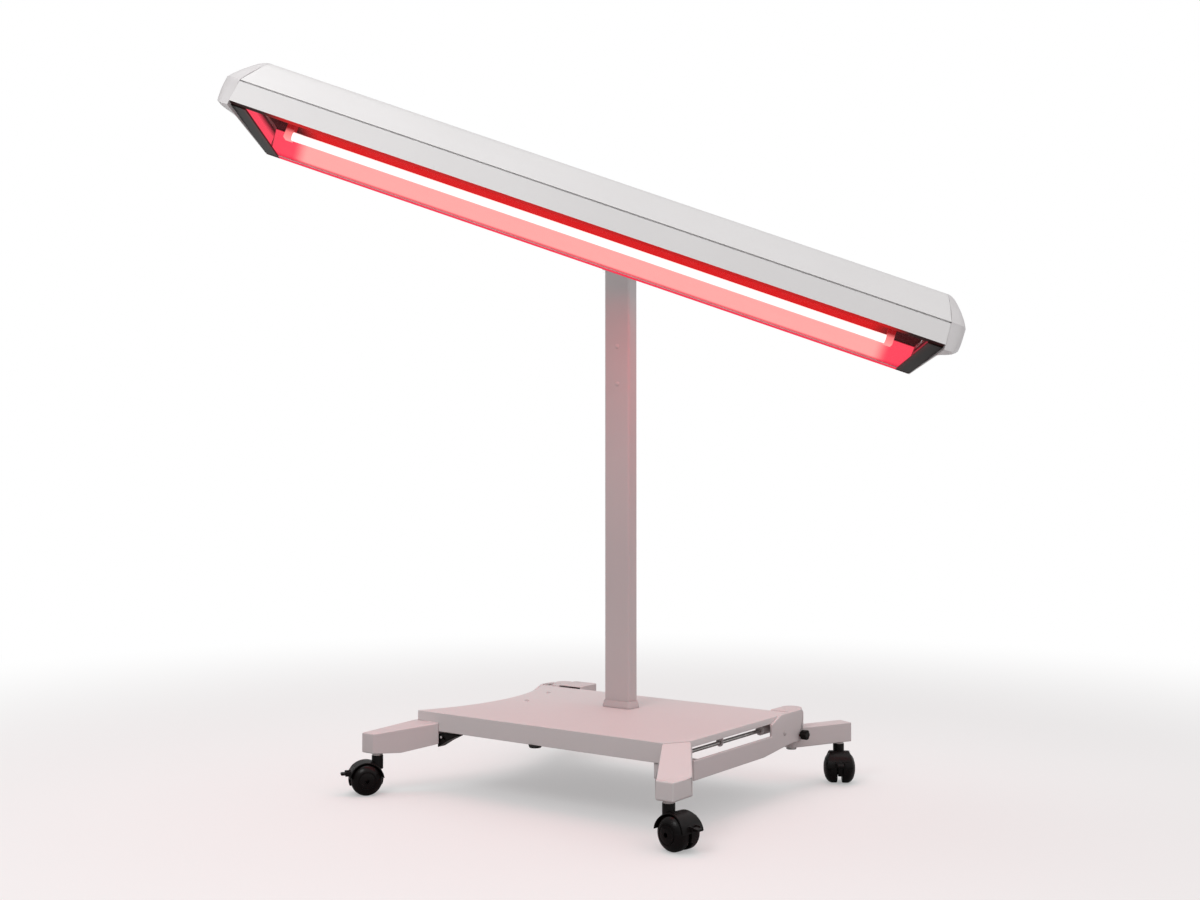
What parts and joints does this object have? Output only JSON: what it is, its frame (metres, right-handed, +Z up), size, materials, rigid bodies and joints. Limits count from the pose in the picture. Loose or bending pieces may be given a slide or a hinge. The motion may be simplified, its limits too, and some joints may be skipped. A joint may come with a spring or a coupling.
{
  "type": "light therapy stand",
  "caption": "Wheeled floor stand with a long swivelling lamp head on a height-adjustable post, on a low deck with splayed arms and braked casters.",
  "frame": {"origin": "on the floor under the post's axis", "axes": "+X along the deck's long front edge to the right, +Y to the back, +Z up"},
  "size_m": [1.221, 1.0236, 1.3772],
  "materials": {
    "white_shell": "white powder coat, satin",
    "end_plastic": "white moulded, satin",
    "base_paint": "white paint, satin",
    "deck_paint": "white paint, gloss",
    "steel": "zinc plated",
    "black_plastic": "fine grained",
    "black_tyre": "smooth polyurethane",
    "black_rubber": "matt",
    "bezel": "matt",
    "reflector": "lacquered",
    "pane": "clear",
    "lamp": "lit tube",
    "socket": "moulded",
    "ballast": "cased",
    "switch_red": "lens"
  },
  "bodies": {
    "base": {"deck": "deck_paint", "side_rail_right": "base_paint", "lug_left": "base_paint", "front_arm_right": "base_paint", "front_arm_left": "base_paint", "linkage_rod": "steel", "rod_hangers": "base_paint", "bumper": "black_rubber", "button_screws": "steel", "inlet_cover": "base_paint", "power_inlet": "black_plastic", "post_foot": "base_paint", "post_tube": "base_paint", "post_bush": "black_plastic", "clamp_collar": "base_paint", "rear_pivot_bolts": "steel", "stem_front_right": "steel", "stem_front_left": "steel"},
    "switch": {"rocker": "switch_red"},
    "height_knob": {"height_knob": "black_plastic"},
    "pedal": {"lock_pedal": "black_plastic"},
    "arm_right": {"rear_arm_right": "base_paint", "stem_rear_right": "steel"},
    "arm_left": {"rear_arm_left": "base_paint", "stem_rear_left": "steel"},
    "knob_right": {"arm_knob_right": "black_plastic"},
    "knob_left": {"arm_knob_left": "black_plastic"},
    "mast": {"inner_mast": "base_paint", "mast_head": "base_paint"},
    "swivel": {"swivel_hub": "base_paint"},
    "roll": {"roll_shaft": "steel"},
    "roll_knob": {"roll_knob": "black_plastic"},
    "head": {"tilt_pin": "steel", "roof_bracket": "steel", "bracket_bolts": "steel", "roof_cover": "white_shell", "side_panel_front": "white_shell", "side_panel_rear": "white_shell", "end_cap_left": "end_plastic", "end_cap_right": "end_plastic", "reflector": "reflector", "bezel_bars": "bezel", "window": "pane", "lamp_tube": "lamp", "lamp_sockets": "socket", "ballast": "ballast", "terminal_block": "socket"},
    "hood_front_right": {"hood_front_right": "black_plastic"},
    "wheels_front_right": {"wheels_front_right": "black_tyre"},
    "brake_front_right": {"brake_front_right": "black_plastic"},
    "hood_front_left": {"hood_front_left": "black_plastic"},
    "wheels_front_left": {"wheels_front_left": "black_tyre"},
    "brake_front_left": {"brake_front_left": "black_plastic"},
    "hood_rear_right": {"hood_rear_right": "black_plastic"},
    "wheels_rear_right": {"wheels_rear_right": "black_tyre"},
    "brake_rear_right": {"brake_rear_right": "black_plastic"},
    "hood_rear_left": {"hood_rear_left": "black_plastic"},
    "wheels_rear_left": {"wheels_rear_left": "black_tyre"},
    "brake_rear_left": {"brake_rear_left": "black_plastic"}
  },
  "joints": [
    {"name": "height_slide", "type": "slide", "parent": "base", "child": "mast", "axis": [0, 0, 1], "range_m": [0, 0.35]},
    {"name": "height_clamp", "type": "hinge", "parent": "base", "child": "height_knob", "pos_m": [0, 0.04, 1.04], "axis": [0, 1, 0], "continuous": true},
    {"name": "head_swivel", "type": "hinge", "parent": "mast", "child": "swivel", "pos_m": [0, 0, 1.088], "axis": [0, 0, 1], "range_deg": [-160, 160]},
    {"name": "head_roll", "type": "hinge", "parent": "swivel", "child": "roll", "pos_m": [0, 0, 1.12], "axis": [-0.5606, 0.8281, 0], "range_deg": [-109, 70]},
    {"name": "roll_clamp", "type": "hinge", "parent": "roll", "child": "roll_knob", "pos_m": [0, 0, 1.12], "axis": [-0.5606, 0.8281, 0], "continuous": true},
    {"name": "head_tilt", "type": "hinge", "parent": "roll", "child": "head", "pos_m": [0.07821, -0.11551, 1.12], "axis": [0.782, 0.5295, -0.3289], "range_deg": [-25, 15]},
    {"name": "arm_swing_right", "type": "hinge", "parent": "base", "child": "arm_right", "pos_m": [0.283, 0.184, 0.098], "axis": [0, 0, 1], "range_deg": [0, 110]},
    {"name": "arm_swing_left", "type": "hinge", "parent": "base", "child": "arm_left", "pos_m": [-0.283, 0.184, 0.098], "axis": [0, 0, -1], "range_deg": [0, 110]},
    {"name": "arm_lock_right", "type": "hinge", "parent": "base", "child": "knob_right", "pos_m": [0.313, 0.172, 0.107], "axis": [1, 0, 0], "continuous": true},
    {"name": "arm_lock_left", "type": "hinge", "parent": "base", "child": "knob_left", "pos_m": [-0.313, 0.172, 0.107], "axis": [-1, 0, 0], "continuous": true},
    {"name": "pedal_press", "type": "hinge", "parent": "base", "child": "pedal", "pos_m": [-0.244, -0.251, 0.106], "axis": [0, 1, 0], "range_deg": [0, 15], "stiffness_Nm_per_rad": 1, "springref_deg": -5.73},
    {"name": "switch_rock", "type": "hinge", "parent": "base", "child": "switch", "pos_m": [-0.215, 0.193, 0.137], "axis": [1, 0, 0], "range_deg": [-12, 0]},
    {"name": "swivel_front_right", "type": "hinge", "parent": "base", "child": "hood_front_right", "pos_m": [0.335, -0.34, 0.074], "axis": [0, 0, 1], "continuous": true},
    {"name": "spin_front_right", "type": "hinge", "parent": "hood_front_right", "child": "wheels_front_right", "pos_m": [0.35667, -0.34382, 0.03], "axis": [0.1736, 0.9848, 0], "continuous": true},
    {"name": "brake_press_front_right", "type": "hinge", "parent": "hood_front_right", "child": "brake_front_right", "pos_m": [0.3931, -0.35024, 0.041], "axis": [0.1736, 0.9848, 0], "range_deg": [0, 12]},
    {"name": "swivel_front_left", "type": "hinge", "parent": "base", "child": "hood_front_left", "pos_m": [-0.337, -0.34, 0.074], "axis": [0, 0, 1], "continuous": true},
    {"name": "spin_front_left", "type": "hinge", "parent": "hood_front_left", "child": "wheels_front_left", "pos_m": [-0.35085, -0.3571, 0.03], "axis": [0.7771, -0.6293, 0], "continuous": true},
    {"name": "brake_press_front_left", "type": "hinge", "parent": "hood_front_left", "child": "brake_front_left", "pos_m": [-0.37413, -0.38585, 0.041], "axis": [0.7771, -0.6293, 0], "range_deg": [0, 12]},
    {"name": "swivel_rear_right", "type": "hinge", "parent": "arm_right", "child": "hood_rear_right", "pos_m": [0.33287, 0.29094, 0.074], "axis": [0, 0, 1], "continuous": true},
    {"name": "spin_rear_right", "type": "hinge", "parent": "hood_rear_right", "child": "wheels_rear_right", "pos_m": [0.34387, 0.27189, 0.03], "axis": [0.866, 0.5, 0], "continuous": true},
    {"name": "brake_press_rear_right", "type": "hinge", "parent": "hood_rear_right", "child": "brake_rear_right", "pos_m": [0.36237, 0.23985, 0.041], "axis": [0.866, 0.5, 0], "range_deg": [0, 12]},
    {"name": "swivel_rear_left", "type": "hinge", "parent": "arm_left", "child": "hood_rear_left", "pos_m": [-0.33287, 0.29094, 0.074], "axis": [0, 0, 1], "continuous": true},
    {"name": "spin_rear_left", "type": "hinge", "parent": "hood_rear_left", "child": "wheels_rear_left", "pos_m": [-0.35453, 0.28712, 0.03], "axis": [0.1736, -0.9848, 0], "continuous": true},
    {"name": "brake_press_rear_left", "type": "hinge", "parent": "hood_rear_left", "child": "brake_rear_left", "pos_m": [-0.39097, 0.2807, 0.041], "axis": [0.1736, -0.9848, 0], "range_deg": [0, 12]}
  ]
}
